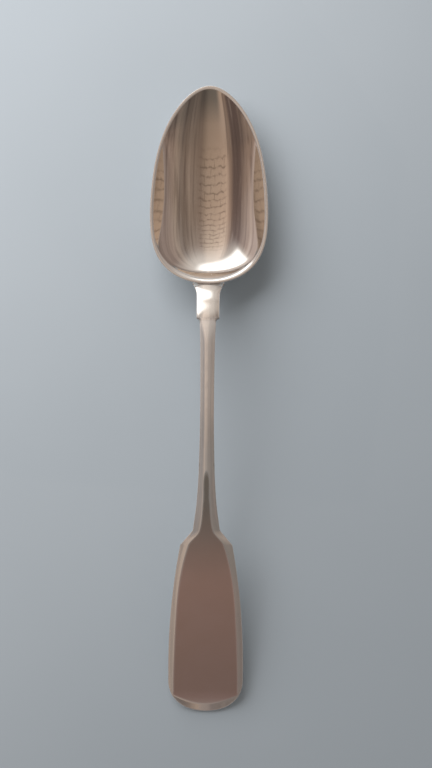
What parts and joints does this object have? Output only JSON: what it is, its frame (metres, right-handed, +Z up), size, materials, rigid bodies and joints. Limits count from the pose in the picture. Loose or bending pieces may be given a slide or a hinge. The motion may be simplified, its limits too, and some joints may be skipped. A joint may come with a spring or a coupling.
{
  "type": "table spoon",
  "caption": "Fiddle-pattern table spoon: egg-shaped raised bowl, necked stem with small lugs, arched shank and a broad shouldered flat end.",
  "frame": {"origin": "under the middle of the spoon's bounding box, on the plane it rests on face up", "axes": "+Y along the spoon from the fiddle end to the bowl's tip, +Z up out of the open bowl, +X across it"},
  "size_m": [0.0415, 0.22, 0.0252],
  "materials": {
    "bowl_silver": "polished silver, light scratches inside",
    "stem_silver": "polished silver, edges worn soft",
    "silver_solder": "silver solder, filed flush and slightly yellow"
  },
  "bodies": {
    "root": {"bowl": "bowl_silver", "stem": "stem_silver", "heel_drop": "stem_silver", "bowl_seam_solder": "silver_solder", "drop_solder": "silver_solder"}
  },
  "joints": []
}
